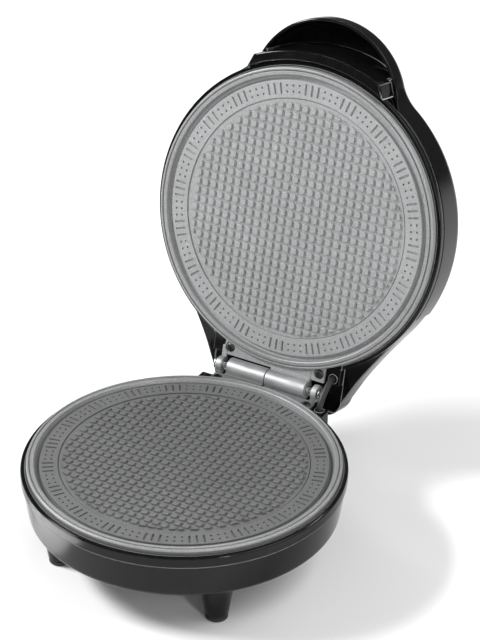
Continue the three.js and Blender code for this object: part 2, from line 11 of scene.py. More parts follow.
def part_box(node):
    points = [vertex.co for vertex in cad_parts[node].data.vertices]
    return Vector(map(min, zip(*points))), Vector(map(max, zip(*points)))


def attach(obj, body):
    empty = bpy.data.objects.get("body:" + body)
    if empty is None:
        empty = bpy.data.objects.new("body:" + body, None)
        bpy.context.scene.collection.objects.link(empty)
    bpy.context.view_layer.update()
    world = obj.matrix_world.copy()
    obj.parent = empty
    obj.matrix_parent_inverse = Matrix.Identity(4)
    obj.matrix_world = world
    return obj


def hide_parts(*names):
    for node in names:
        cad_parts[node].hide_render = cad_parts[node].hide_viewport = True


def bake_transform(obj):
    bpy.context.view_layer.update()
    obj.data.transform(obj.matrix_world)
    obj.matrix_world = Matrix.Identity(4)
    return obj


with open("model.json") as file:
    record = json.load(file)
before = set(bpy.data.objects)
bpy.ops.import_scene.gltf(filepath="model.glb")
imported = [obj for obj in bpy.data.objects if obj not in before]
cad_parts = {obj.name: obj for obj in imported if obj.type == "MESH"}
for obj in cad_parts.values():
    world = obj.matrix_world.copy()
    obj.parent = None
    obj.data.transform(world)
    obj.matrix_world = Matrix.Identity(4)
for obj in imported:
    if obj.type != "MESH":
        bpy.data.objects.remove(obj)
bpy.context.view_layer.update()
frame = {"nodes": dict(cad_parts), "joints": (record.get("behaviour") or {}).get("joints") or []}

# -------------------- sizes and frames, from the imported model

MM = 0.001
JOINT = frame["joints"][0]
HINGE = Vector(JOINT["pos_m"])
OPEN = math.radians(JOINT["range_deg"][1])
HALF_WAFER = 1.4
RIM = (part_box("lower_plate")[1].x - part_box("lower_plate")[0].x) / 2 / MM
BAKE = RIM / 1.091
BODY = (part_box("base_collar_ring")[1].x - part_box("base_collar_ring")[0].x) / 2 / MM
CENTRE_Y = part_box("base_collar_ring")[0].y + BODY * MM
HINGE_Y = (HINGE.y - CENTRE_Y) / MM
PLATE_Z = HINGE.z / MM - HALF_WAFER

# Both frames are in millimetres. In the base's, height 0 is the lower baking face. In the lid's, height 0
# is the upper baking face, and +Z leads to the lid's top as it does when the lid is closed.
BASE = Matrix.Translation((0, CENTRE_Y, PLATE_Z * MM)) @ Matrix.Scale(MM, 4)
LID = (
    Matrix.Translation(HINGE)
    @ Matrix.Rotation(-OPEN, 4, "X")
    @ Matrix.Scale(MM, 4)
    @ Matrix.Translation((0, -HINGE_Y, HALF_WAFER))
)
FLIP = Matrix.Scale(-1, 4, (0, 0, 1))

ROUND = 192
BEYOND = 200
PLATE_THICKNESS = 5
RIM_HEIGHT = 1.2
CHANNEL_DEPTH = 2.2
BARREL = 6.3
PIN = 2.5
TAB_X = 37
TAB_TOP = -0.8
TAB_BOTTOM = -3.2
TAB_END = HINGE_Y - BARREL - 0.4
TAB_SCREW_X = 33
TAB_SCREW_Y = 96
BOWL_DEPTH = BAKE * 0.378
LID_DEPTH = BAKE * 0.43
LINK_X = 42
LINK_BASE_Y = 98
LINK_LID_Y = 97.5
LINK_RADIUS = 2
LINK_HOLE = 3


# -------------------- camera


def make_camera():
    """The camera looks down at the open machine from its front right."""
    azimuth, elevation, roll = math.radians(29.64), math.radians(30.52), math.radians(0.6)
    distance, right, up = 17.88 * BAKE, 0.382 * BAKE, 0.963 * BAKE
    level = math.cos(elevation)
    back = Vector((math.sin(azimuth) * level, -math.cos(azimuth) * level, math.sin(elevation)))
    level_x = Vector((0, 0, 1)).cross(back).normalized()
    level_y = back.cross(level_x)
    x = level_x * math.cos(roll) + level_y * math.sin(roll)
    y = level_y * math.cos(roll) - level_x * math.sin(roll)
    place = Matrix((x, y, back)).transposed().to_4x4()
    place.translation = BASE @ Vector() + (back * distance + x * right + y * up) * MM
    data = bpy.data.cameras.new("camera")
    data.sensor_fit = "HORIZONTAL"
    data.sensor_width = 36
    data.lens = 194.8
    data.clip_end = 50
    camera = bpy.data.objects.new("camera", data)
    camera.matrix_world = place
    bpy.context.scene.collection.objects.link(camera)
    bpy.context.scene.camera = camera


make_camera()

# -------------------- mesh helpers


def object_from(name, bm):
    """The bmesh as an object in the scene; the bmesh is used up."""
    mesh = bpy.data.meshes.new(name)
    bm.to_mesh(mesh)
    bm.free()
    obj = bpy.data.objects.new(name, mesh)
    bpy.context.scene.collection.objects.link(obj)
    return obj


def new_object(name, vertices, faces):
    """An object of these faces, turned to face outwards."""
    mesh = bpy.data.meshes.new("draft")
    mesh.from_pydata([tuple(v) for v in vertices], [], faces)
    bm = bmesh.new()
    bm.from_mesh(mesh)
    bpy.data.meshes.remove(mesh)
    bmesh.ops.recalc_face_normals(bm, faces=bm.faces)
    return object_from(name, bm)


def bend(start, knee, end, t):
    """The point at share t of the curve from start to end that leans towards the knee."""
    return start * (1 - t) ** 2 + knee * 2 * t * (1 - t) + end * t * t


def rounded(corners, closed=True, steps=4):
    """The outline through (x, y, reach) corners, each rounded off over its reach on both sides."""
    points = []
    count = len(corners)
    for i, (x, y, reach) in enumerate(corners):
        here = Vector((x, y))
        if reach == 0 or (not closed and i in (0, count - 1)):
            points.append(here)
            continue
        before = Vector(corners[i - 1][:2]) - here
        after = Vector(corners[(i + 1) % count][:2]) - here
        start = here + before.normalized() * min(reach, before.length * 0.49)
        end = here + after.normalized() * min(reach, after.length * 0.49)
        points += [bend(start, here, end, step / steps) for step in range(steps + 1)]
    return points


def around(radius, angle, height):
    """A point at an angle from +X round the middle."""
    return Vector((radius * math.cos(angle), radius * math.sin(angle), height))


def towards_handle(radius, angle, centre_y=0):
    """A flat point on an arc about (0, centre_y), at an angle from the handle's direction."""
    return Vector((radius * math.sin(angle), centre_y - radius * math.cos(angle)))


def turned(name, profile, segments=ROUND):
    """A solid turned about Z from (radius, height) points, closed on the axis or on itself."""
    vertices = []
    rows = []
    for r, z in profile:
        if r < 1e-6:
            rows.append([len(vertices)] * segments)
            vertices.append((0, 0, z))
            continue
        first = len(vertices)
        for i in range(segments):
            angle = 2 * math.pi * i / segments
            vertices.append((r * math.cos(angle), r * math.sin(angle), z))
        rows.append(list(range(first, first + segments)))
    on_axis = profile[0][0] < 1e-6 and profile[-1][0] < 1e-6
    pairs = zip(rows, rows[1:] if on_axis else rows[1:] + rows[:1])
    faces = []
    for low, high in pairs:
        for i in range(segments):
            j = (i + 1) % segments
            faces.append(list(dict.fromkeys([low[i], low[j], high[j], high[i]])))
    return new_object(name, vertices, faces)


def lofted(name, *solids):
    """One mesh of solids, each through rings of equal numbers of points, its first and last ring capped."""
    vertices = []
    faces = []
    for rings in solids:
        count = len(rings[0])
        first = len(vertices)
        vertices += [p for ring in rings for p in ring]
        last = len(vertices) - count
        faces += [list(range(first, first + count)), list(range(last, last + count))]
        for low in range(first, last, count):
            for i in range(count):
                j = (i + 1) % count
                faces.append([low + i, low + j, low + count + j, low + count + i])
    return new_object(name, vertices, faces)


def turned_at(name, x, y, corners, segments=64):
    """A solid turned about an upright axis through (x, y) from rounded corners."""
    obj = turned(name, rounded(corners, closed=False), segments)
    obj.data.transform(Matrix.Translation((x, y, 0)))
    return obj


def lifted(point, height):
    return Vector((point.x, point.y, height))


def raised(outline, height):
    """A flat outline as a ring of 3-D points at a height."""
    return [lifted(p, height) for p in outline]


def block(name, low, high, edge=0.4):
    """A box between two corners with rounded edges."""
    bm = bmesh.new()
    size = Vector(high) - Vector(low)
    place = Matrix.Translation((Vector(high) + Vector(low)) / 2) @ Matrix.Diagonal((*size, 1))
    bmesh.ops.create_cube(bm, size=1, matrix=place)
    if edge:
        bmesh.ops.bevel(bm, geom=bm.edges[:], offset=edge, segments=3, profile=0.5, affect="EDGES")
    return object_from(name, bm)


def rod(name, start, end, profile, segments=48):
    """A solid turned about the line from start to end. The profile's heights are shares of its length."""
    start, end = Vector(start), Vector(end)
    axis = end - start
    obj = turned(name, [(r, share * axis.length) for r, share in profile], segments)
    obj.data.transform(Matrix.Translation(start) @ axis.to_track_quat("Z", "Y").to_matrix().to_4x4())
    return obj


def plain_rod(name, start, end, radius, edge=0.3, segments=48):
    length = (Vector(end) - Vector(start)).length
    corners = [(0, 0, 0), (radius, 0, edge), (radius, length, edge), (0, length, 0)]
    outline = rounded(corners, closed=False, steps=3)
    return rod(name, start, end, [(p.x, p.y / length) for p in outline], segments)


def upright(name, x, y, low, high, radius, segments=48):
    """A sharp-edged cylinder along Z, mostly used as a cutter."""
    return plain_rod(name, (x, y, low), (x, y, high), radius, 0, segments)


def disc(name, low, high, radius):
    """A wide sharp-edged cylinder round the middle, as smooth as the plates' outlines."""
    return upright(name, 0, 0, low, high, radius, ROUND)


def hinge_rod(name, x0, x1, radius, edge=0.3):
    """A cylinder along the hinge's axis."""
    return plain_rod(name, (x0, HINGE_Y, HALF_WAFER), (x1, HINGE_Y, HALF_WAFER), radius, edge, 64)


def combine(obj, operation, others):
    """obj after a boolean UNION, DIFFERENCE or INTERSECT with each of the others, which are used up."""
    for other in others:
        modifier = obj.modifiers.new(operation, "BOOLEAN")
        modifier.operation = operation
        modifier.solver = "MANIFOLD"
        modifier.object = other
    bpy.context.view_layer.update()
    result = bpy.data.meshes.new_from_object(obj.evaluated_get(bpy.context.evaluated_depsgraph_get()))
    obj.modifiers.clear()
    obj.data = result
    for other in others:
        bpy.data.objects.remove(other)
    if not result.polygons:
        raise RuntimeError(f"{obj.name}: the boolean left nothing")
    return obj


def finished(obj, place, body, material, nodes, crease=32):
    """Moves a piece to its place in the model's frame, gives it its body and finish, and hides the CAD
    nodes it replaces.
    """
    obj.data.transform(place)
    if place.determinant() < 0:
        obj.data.flip_normals()
    obj.data.materials.clear()
    obj.data.materials.append(material)
    obj.data.shade_smooth()
    obj.data.set_sharp_from_angle(angle=math.radians(crease))
    weighted = obj.modifiers.new("weighted_normals", "WEIGHTED_NORMAL")
    weighted.keep_sharp = True
    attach(obj, body)
    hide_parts(*nodes)
    return obj


# -------------------- materials


class Nodes:
    """A material's node tree with short ways to add to it."""

    def __init__(self, name):
        self.material = bpy.data.materials.new(name)
        self.material.use_nodes = True
        self.tree = self.material.node_tree
        self.shader = self.tree.nodes["Principled BSDF"]
        self.place = self.add("ShaderNodeTexCoord").outputs["Object"]

    def add(self, kind, **values):
        node = self.tree.nodes.new(kind)
        for key, value in values.items():
            setattr(node, key, value)
        return node

    def link(self, source, target):
        self.tree.links.new(source, target)

    def noise(self, scale, detail=3, stretch=(1, 1, 1)):
        """Noise fixed to the object, drawn out along the axes whose stretch is small."""
        mapping = self.add("ShaderNodeMapping")
        mapping.inputs["Scale"].default_value = stretch
        self.link(self.place, mapping.inputs["Vector"])
        noise = self.add("ShaderNodeTexNoise")
        noise.inputs["Scale"].default_value = scale
        noise.inputs["Detail"].default_value = detail
        self.link(mapping.outputs["Vector"], noise.inputs["Vector"])
        return noise.outputs["Fac"]

    def ramp(self, value, low, high, start, end):
        """The value remapped from low..high to start..end, clamped."""
        node = self.add("ShaderNodeMapRange")
        for key, number in zip(("From Min", "From Max", "To Min", "To Max"), (low, high, start, end)):
            node.inputs[key].default_value = number
        self.link(value, node.inputs["Value"])
        return node.outputs["Result"]

    def colours(self, value, low, high, dark, light):
        """The dark colour up to low, the light one from high, and a blend between them."""
        node = self.add("ShaderNodeValToRGB")
        node.color_ramp.elements[0].position = low
        node.color_ramp.elements[0].color = (*dark, 1)
        node.color_ramp.elements[1].position = high
        node.color_ramp.elements[1].color = (*light, 1)
        self.link(value, node.inputs["Fac"])
        return node.outputs["Color"]

    def bump(self, height, distance, strength):
        node = self.add("ShaderNodeBump")
        node.inputs["Distance"].default_value = distance
        node.inputs["Strength"].default_value = strength
        self.link(height, node.inputs["Height"])
        return node.outputs["Normal"]

    def edges(self, radius, sharp, flat):
        """0 on open surfaces and 1 on edges, by how far the normals within the radius agree."""
        bevel = self.add("ShaderNodeBevel", samples=8)
        bevel.inputs["Radius"].default_value = radius
        geometry = self.add("ShaderNodeNewGeometry")
        same = self.add("ShaderNodeVectorMath", operation="DOT_PRODUCT")
        self.link(bevel.outputs["Normal"], same.inputs[0])
        self.link(geometry.outputs["Normal"], same.inputs[1])
        return self.ramp(same.outputs["Value"], flat, sharp, 0, 1)

    def mix(self, share, first, second):
        """The first colour where the share is 0 and the second where it is 1."""
        node = self.add("ShaderNodeMix", data_type="RGBA")
        node.inputs["B"].default_value = (*second, 1)
        self.link(share, node.inputs["Factor"])
        self.link(first, node.inputs["A"])
        return node.outputs["Result"]

    def set(self, **values):
        """Values that are the same all over the surface, on the shader's own sockets."""
        for key, value in values.items():
            self.shader.inputs[key.replace("_", " ")].default_value = value

    def finish(self, color=None, roughness=None, normal=None):
        for key, source in (("Base Color", color), ("Roughness", roughness), ("Normal", normal)):
            if source is not None:
                self.link(source, self.shader.inputs[key])
        return self.material


def grey(value, tint=0.0):
    """A grey that leans to blue with the tint, or to brown when it is negative."""
    return (value, value * (1 + tint * 0.4), value * (1 + tint))


def coated_metal(name, level, metallic=0.2):
    """Sand-blasted casting under a non-stick coat: fine grain with lighter flecks."""
    m = Nodes(name)
    grain = m.noise(1500, 4)
    cloud = m.noise(28, 3)
    mixed = m.add("ShaderNodeMath", operation="MULTIPLY_ADD")
    m.link(cloud, mixed.inputs[0])
    mixed.inputs[1].default_value = 0.22
    m.link(grain, mixed.inputs[2])
    color = m.colours(mixed.outputs[0], 0.38, 0.84, grey(level * 0.72, 0.02), grey(level * 1.32, 0.02))
    roughness = m.ramp(grain, 0.3, 0.7, 0.6, 0.45)
    normal = m.bump(grain, 0.00014, 0.6)
    m.set(Metallic=metallic, IOR=1.5)
    return m.finish(color, roughness, normal)


def gloss_black(name, level=0.004, roughness=0.09):
    """Polished moulding: deep black, a faint swell, hairline wear in its gloss, and a painted highlight of
    light grey along its sharp edges.
    """
    m = Nodes(name)
    swell = m.noise(60, 2)
    wear = m.noise(420, 5, (1, 1, 0.25))
    color = m.colours(wear, 0.35, 0.75, grey(level * 0.7), grey(level * 1.6, 0.05))
    shine = m.ramp(wear, 0.35, 0.8, roughness * 0.8, roughness * 1.9)
    normal = m.bump(swell, 0.00005, 0.02)
    # Painted highlight: sharp edges are blended to a light grey to stand in for the lights' reflections in
    # the rounded edges.
    painted_edge_highlight = m.edges(0.0011, 0.91, 0.985)
    m.set(IOR=1.29)
    return m.finish(m.mix(painted_edge_highlight, color, grey(0.45)), shine, normal)


def satin_metal(name, level, roughness, stretch, metallic=1.0, tint=0.02):
    """Metal with a fine drawn grain along the direction that the texture is stretched in."""
    m = Nodes(name)
    streaks = m.noise(900, 4, stretch)
    cloud = m.noise(45, 2)
    color = m.colours(streaks, 0.3, 0.7, grey(level * 0.82, tint), grey(level * 1.1, tint))
    shine = m.ramp(cloud, 0.3, 0.7, roughness * 0.8, roughness * 1.25)
    normal = m.bump(streaks, 0.00004, 0.35)
    m.set(Metallic=metallic)
    return m.finish(color, shine, normal)


def moulded(name, color, roughness, grain=900):
    """Matt plastic, rubber or ceramic: an even colour with a fine texture and slight clouding."""
    m = Nodes(name)
    fine = m.noise(grain, 3)
    cloud = m.noise(35, 3)
    dark = tuple(c * 0.75 for c in color)
    light = tuple(min(c * 1.25, 1) for c in color)
    paint = m.colours(cloud, 0.3, 0.7, dark, light)
    shine = m.ramp(fine, 0.3, 0.7, roughness * 0.85, min(roughness * 1.15, 1))
    normal = m.bump(fine, 0.0001, 0.4)
    return m.finish(paint, shine, normal)


def lens_glass(name, color):
    """Tinted lens plastic: a clear coat over a faintly clouded, slightly translucent body."""
    m = Nodes(name)
    fine = m.noise(700, 2)
    paint = m.colours(fine, 0.3, 0.7, tuple(c * 0.8 for c in color), color)
    m.set(Coat_Weight=0.8, Coat_Roughness=0.05)
    m.set(Subsurface_Weight=0.2, Subsurface_Radius=(0.001, 0.0005, 0.0005))
    return m.finish(paint, m.ramp(fine, 0.3, 0.7, 0.08, 0.16))


# Both plates have one and the same coat: the lower plate's is painted darker as painted shade and the upper
# plate's lighter as painted light.
LOWER_COAT_PAINTED_SHADE = coated_metal("lower_non_stick_coat_painted_shade", 0.125)
UPPER_COAT_PAINTED_LIGHT = coated_metal("upper_non_stick_coat_painted_light", 0.3)
RIM_COAT = coated_metal("worn_rim_coat", 0.3, metallic=0.6)
BLACK = gloss_black("gloss_black_moulding")
HINGE_METAL = satin_metal("satin_casting", 0.4, 0.5, (0.12, 1, 1), metallic=0.8)
PIN_METAL = satin_metal("pin_steel", 0.72, 0.18, (0.2, 1, 1))
SCREW_METAL = satin_metal("screw_steel", 0.08, 0.42, (1, 1, 1))
SHEET_METAL = satin_metal("shield_sheet", 0.55, 0.34, (1, 0.1, 1))
SHEATH_METAL = satin_metal("element_sheath", 0.3, 0.45, (1, 1, 1), tint=-0.12)
RUBBER = moulded("rubber", (0.018, 0.018, 0.018), 0.72)
MATT_BLACK = moulded("matt_black", (0.01, 0.01, 0.01), 0.5)
SHEET_COAT = moulded("bottom_cover_coat", (0.03, 0.03, 0.032), 0.5, 1400)
CERAMIC = moulded("ceramic", (0.72, 0.69, 0.62), 0.6)
SLEEVE = moulded("fuse_sleeve", (0.7, 0.67, 0.58), 0.75, 500)
BOARD = moulded("lamp_board", (0.035, 0.14, 0.06), 0.5)
RED_LENS = lens_glass("red_lens", (0.5, 0.02, 0.015))
GREEN_LENS = lens_glass("green_lens", (0.02, 0.3, 0.06))

# -------------------- baking plates


def square_ring(x, y, z, half, corner):
    """The eight points of a square about (x, y) with its corners cut off."""
    points = []
    for side in range(4):
        turn = Matrix.Rotation(side * math.pi / 2, 2)
        for along in (-half + corner, half - corner):
            at = turn @ Vector((half, along))
            points.append(Vector((x + at.x, y + at.y, z)))
    return points


def waffle_bosses(name, floor):
    """Square bosses with rounded corners on the plate's inner field, clipped by a circle."""
    pitch = BAKE * 0.0643
    half_base, half_top = pitch * 0.365, pitch * 0.32
    top = floor + 1.25
    levels = [
        (floor - 0.3, half_base + 0.04, 0.5),
        (top - 0.15, half_top + 0.04, 0.45),
        (top, half_top - 0.1, 0.4),
    ]
    reach = 13
    bosses = []
    for row in range(-reach, reach):
        for column in range(-reach, reach):
            x, y = (column + 0.5) * pitch, (row + 0.5) * pitch
            if math.hypot(x, y) <= BAKE * 0.86:
                bosses.append([square_ring(x, y, *level) for level in levels])
    clip = disc("clip", floor - 1, top + 1, BAKE * 0.837)
    return combine(lofted(name, *bosses), "INTERSECT", [clip])


def pit_rings(radius, angle, half_length, half_width):
    """A tapered eight-sided pit in the border, longest along the plate's radius."""
    corner_spread = 1.08
    out = towards_handle(1, angle)
    across = Vector((-out.y, out.x))
    rings = []
    for z, spare in ((-0.9, -0.12), (0.2, 0.12)):
        ring = []
        reach = (half_width + spare) * corner_spread
        for i in range(8):
            corner = math.pi / 8 + i * math.pi / 4
            run = half_length - half_width + reach * abs(math.cos(corner))
            along = math.copysign(run, math.cos(corner))
            ring.append(lifted(out * (radius + along) + across * reach * math.sin(corner), z))
        rings.append(ring)
    return rings


def border_cutters(name):
    """Twenty groups round the border: three radial grooves, then three pairs of dimples."""
    groups = 20
    step = math.radians(3)
    pits = []
    for group in range(groups):
        middle = 2 * math.pi * group / groups
        for i in (-1, 0, 1):
            pits.append(pit_rings(BAKE * 0.94, middle + i * step, BAKE * 0.04, 0.62))
            for radius in (BAKE * 0.917, BAKE * 0.961):
                pits.append(pit_rings(radius, middle + (i + 3) * step, 0.65, 0.65))
    return lofted(name, *pits)


def baking_plate(name, barrel, ear):
    """A plate, baking face up, with its border, channel, rim, hinge tab, one barrel and one end ear."""
    field = -0.55
    profile = rounded([
        (0, field, 0),
        (BAKE * 0.864, field, 0.1),
        (BAKE * 0.866, field - 0.5, 0.1),
        (BAKE * 0.871, field - 0.5, 0.1),
        (BAKE * 0.873, 0, 0.12),
        (BAKE * 0.998, 0, 0.3),
        (BAKE * 1.003, -CHANNEL_DEPTH, 0.3),
        (BAKE * 1.024, -CHANNEL_DEPTH, 0.9),
        (BAKE * 1.038, RIM_HEIGHT, 0.5),
        (RIM - 2.5, RIM_HEIGHT, 0.2),
        (RIM - 2.4, RIM_HEIGHT - 1.1, 0.1),
        (RIM - 1.8, RIM_HEIGHT - 1.1, 0.1),
        (RIM - 1.7, RIM_HEIGHT + 0.05, 0.25),
        (RIM - 0.1, RIM_HEIGHT + 0.05, 1.3),
        (RIM, -3, 0.3),
        (RIM - 4.2, -3, 0.2),
        (RIM - 4.2, -PLATE_THICKNESS, 0.3),
        (0, -PLATE_THICKNESS, 0),
    ], closed=False, steps=5)
    plate = turned(name, profile)
    tab = block("tab", (-TAB_X, RIM - 10, TAB_BOTTOM), (TAB_X, TAB_END, TAB_TOP), 0.5)
    combine(tab, "DIFFERENCE", [disc("room", -20, 5, RIM - 2)])
    parts = [tab, waffle_bosses("bosses", field)]
    web_end = HINGE_Y - 2
    for (x0, x1), radius in ((barrel, BARREL), (ear, BARREL - 0.8)):
        web_low = (x0 + 0.1, TAB_END - 6, TAB_BOTTOM)
        parts.append(block("web", web_low, (x1 - 0.1, web_end, TAB_TOP + 0.3), 0.4))
        parts.append(hinge_rod("barrel", x0, x1, radius, 0.6))
    ledge_low = (barrel[0] + 0.1, TAB_END - 1.5, TAB_BOTTOM)
    parts.append(block("ledge", ledge_low, (barrel[1] - 0.1, web_end, TAB_TOP + 1.0), 0.25))
    parts.append(plain_rod("stud", (0, 0, -14.7), (0, 0, -PLATE_THICKNESS + 1), 5))
    combine(plate, "UNION", parts)
    holes = [hinge_rod("bore", -60, 60, PIN + 0.3, 0)]
    holes.append(upright("stud_hole", 0, 0, -16, -PLATE_THICKNESS - 2, 1.9))
    for x in (-TAB_SCREW_X, TAB_SCREW_X):
        holes.append(upright("hole", x, TAB_SCREW_Y, -10, 5, 2))
        holes.append(upright("seat", x, TAB_SCREW_Y, TAB_TOP - 0.5, 5, 3.5))
    return combine(plate, "DIFFERENCE", [*holes, border_cutters("border")])


def wear_plate(plate, place):
    """The hinge barrels are machined bare and the rim is worn bright, so the coat differs there."""
    plate.data.materials.append(HINGE_METAL)
    plate.data.materials.append(RIM_COAT)
    to_plate = place.inverted()
    for face in plate.data.polygons:
        middle = to_plate @ face.center
        if math.hypot(middle.y - HINGE_Y, middle.z - HALF_WAFER) < BARREL * 1.01:
            face.material_index = 1
        elif BAKE * 1.03 < math.hypot(middle.x, middle.y) < RIM + 0.1 and middle.z > TAB_TOP + 0.2:
            face.material_index = 2


lower_plate = baking_plate("lower_plate_casting", (-30, -2), (32.2, 36))
finished(lower_plate, BASE, "base", LOWER_COAT_PAINTED_SHADE, ["lower_plate"])
wear_plate(lower_plate, BASE)
upper_plate = baking_plate("upper_plate_casting", (-1.5, 27.5), (-38.5, -34.7))
finished(upper_plate, LID @ FLIP, "lid", UPPER_COAT_PAINTED_LIGHT, ["upper_plate"])
wear_plate(upper_plate, LID @ FLIP)

# -------------------- screws, pin and feet


def cross_screw(name, at, radius, dome, length, turn):
    """A pan-head screw with a cross recess, its head's underside at the given point, head up."""
    head = [(0, dome, 0), (radius * 0.55, dome, 0.5), (radius * 0.96, dome * 0.45, 0.4), (radius, 0, 0.15)]
    shank = [(radius * 0.5, 0, 0.1), (radius * 0.5, -length + 1, 0.3)]
    end = [(radius * 0.2, -length, 0.2), (0, -length, 0)]
    screw = turned(name, rounded(head + shank + end, closed=False), 48)
    arms = []
    for angle in (0, math.pi / 2):
        reach, half = radius * 0.62, radius * 0.17
        arm = block("arm", (-reach, -half, 0), (reach, half, dome + 1), 0.08)
        arm.data.transform(Matrix.Rotation(angle + turn, 4, "Z"))
        arms.append(arm)
    cone = plain_rod("cone", (0, 0, dome * 0.25), (0, 0, dome + 1), radius * 0.24, 0.1, 24)
    combine(screw, "DIFFERENCE", [*arms, cone])
    screw.data.transform(Matrix.Translation(at))
    return screw


for side, x, turn in (("left", -TAB_SCREW_X, 0.35), ("right", TAB_SCREW_X, 1.1)):
    at = (x, TAB_SCREW_Y, TAB_TOP - 0.4)
    for plate, body, place, extra in (("lower", "base", BASE, 0), ("upper", "lid", LID @ FLIP, 0.5)):
        screw = cross_screw(f"{plate}_tab_screw_{side}", at, 3.1, 1.2, 9, turn + extra)
        finished(screw, place, body, SCREW_METAL, [f"{plate}_plate_screw_{side}"])

COVER_TOP = -BOWL_DEPTH - 0.3
COVER_SHEET = 2
COVER_SCREWS = 62.4
for i, side in enumerate(("right", "rear", "left", "front")):
    at = around(COVER_SCREWS, i * math.pi / 2, COVER_TOP - COVER_SHEET - 0.1)
    screw = cross_screw(f"underside_screw_{side}", (0, 0, 0), 3, 1.6, 6, 0.4 * i)
    screw.data.transform(Matrix.Translation(at) @ FLIP)
    screw.data.flip_normals()
    finished(screw, BASE, "base", SCREW_METAL, [f"bottom_cover_screw_{side}"])

CLIP_X = 37.1


def hinge_pin():
    """A headed pin with a groove for its clip."""
    pin = hinge_rod("hinge_pin_rod", -39.2, 38.6, PIN, 0.5)
    combine(pin, "UNION", [hinge_rod("head", -40.6, -39, PIN + 1.6, 0.6)])
    groove = hinge_rod("groove", CLIP_X - 0.6, CLIP_X + 0.6, PIN + 1, 0)
    combine(groove, "DIFFERENCE", [hinge_rod("core", CLIP_X - 1.1, CLIP_X + 0.9, PIN - 0.4, 0)])
    return combine(pin, "DIFFERENCE", [groove])


def hinge_clip():
    """A round clip in the pin's groove, with a slot on one side to push it on by."""
    clip = hinge_rod("hinge_pin_circlip", CLIP_X - 0.4, CLIP_X + 0.4, PIN + 1.8, 0.2)
    middle = Vector((CLIP_X, HINGE_Y, HALF_WAFER))
    slot_low = middle + Vector((-2, -1.6, 0))
    slot_high = middle + Vector((2, 1.6, 8))
    return combine(clip, "DIFFERENCE", [
        hinge_rod("eye", CLIP_X - 1.1, CLIP_X + 0.9, PIN - 0.25, 0),
        block("mouth", slot_low, slot_high, 0.1),
    ])


finished(hinge_pin(), BASE, "base", PIN_METAL, ["hinge_pin"])
finished(hinge_clip(), BASE, "base", PIN_METAL, ["hinge_pin_clip"])

FOOT_RADIUS = 7
CORNERS = ("front_left", "front_right", "rear_left", "rear_right")


def foot_place(corner):
    """The x and y of a foot's middle in the base's frame."""
    low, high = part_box(f"foot_{corner}")
    return (low.x + high.x) / 2 / MM, ((low.y + high.y) / 2 - CENTRE_Y) / MM


def foot(name, x, y):
    """A rubber foot whose stem pushes into its leg."""
    rim, stem_top = -PLATE_Z + 3, -PLATE_Z + 7.5
    stem = 1.8
    return turned_at(name, x, y, [
        (0, -PLATE_Z, 0),
        (FOOT_RADIUS - 2.6, -PLATE_Z, 0.5),
        (FOOT_RADIUS, -PLATE_Z, 1.6),
        (FOOT_RADIUS, rim, 0.5),
        (stem, rim, 0.2),
        (stem, stem_top, 0.6),
        (0, stem_top, 0),
    ])


for corner in CORNERS:
    rubber = foot(f"rubber_foot_{corner}", *foot_place(corner))
    finished(rubber, BASE, "base", RUBBER, [f"foot_{corner}"])

# -------------------- base

SEAM = 9
SEAT_X = 47
LEG_TIP = -PLATE_Z + 3.3
LEG_ROOT = -42
FLARE = 15.5
GLAND_ANGLE = math.radians(150)
GLAND_HEIGHT = -20
GLAND_START = 94


def bowl_outside():
    """The bowl's outer outline from its top edge down to its flat underside, as (radius, height)."""
    return rounded([
        (BODY - 1.8, -SEAM - 0.3, 0),
        (BODY - 0.9, -SEAM - 0.3, 0.5),
        (BODY - 1.7, -15, 4),
        (BODY - 3.2, -26, 5),
        (BODY - 4.4, -BOWL_DEPTH, 12),
        (BAKE * 0.9, -BOWL_DEPTH, 0),
    ], closed=False, steps=8)


BOWL = bowl_outside()


def bowl_height(radius):
    """Height of the bowl's outer surface at a distance from the middle."""
    lower = [p for p in BOWL if p.y < -20]
    for high, low in zip(lower, lower[1:]):
        if low.x <= radius <= high.x:
            share = (radius - low.x) / max(high.x - low.x, 1e-6)
            return low.y + share * (high.y - low.y)
    return -BOWL_DEPTH if radius < lower[-1].x else lower[0].y


def leg_radius(z):
    """A leg widens evenly from its tip upwards."""
    return FOOT_RADIUS + 0.3 + (z - LEG_TIP) * 0.15


def flare_reach(leg, way):
    """How far a leg's root spreads in a direction: less where the bowl's edge is near."""
    reach = FLARE
    while (leg + way * reach).length > BOWL[0].x - 1.6:
        reach -= 0.1
    return reach


def flared_leg(name, x, y):
    """A round tapering leg whose root flows out over the bowl's surface."""
    count = 64
    flare_steps = 9
    leg = Vector((x, y))
    tip = [(FOOT_RADIUS - 1.2, LEG_TIP), (FOOT_RADIUS - 0.2, LEG_TIP + 0.3)]
    shaft = [(leg_radius(z), z) for z in (LEG_TIP + 1.4, LEG_TIP + 8, LEG_ROOT)]
    columns = []
    for i in range(count):
        way = around(1, 2 * math.pi * i / count, 0).to_2d()
        reach = flare_reach(leg, way)
        land = Vector((reach, bowl_height((leg + way * reach).length) + 0.2))
        start = Vector((leg_radius(LEG_ROOT), LEG_ROOT))
        knee_radius = min(leg_radius(LEG_ROOT + 6), reach * 0.92)
        knee_height = max(bowl_height((leg + way * knee_radius).length), LEG_ROOT + 5)
        knee = Vector((knee_radius, knee_height))
        flare = [bend(start, knee, land, (step + 1) / flare_steps) for step in range(flare_steps)]
        inside = (min(flare[-1].x, 4), flare[-1].y + 3)
        column = [*tip, *shaft, *flare, inside]
        columns.append([Vector((x + r * way.x, y + r * way.y, z)) for r, z in column])
    return lofted(name, list(zip(*columns)))


def straight_leg(name, x, y):
    """A plain tapering leg that ends inside the seat under the hinge."""
    corners = [(0, LEG_TIP, 0), (7.3, LEG_TIP, 0.6), (9.8, -19, 5), (6, -13.5, 0), (0, -13.5, 0)]
    return turned_at(name, x, y, corners)


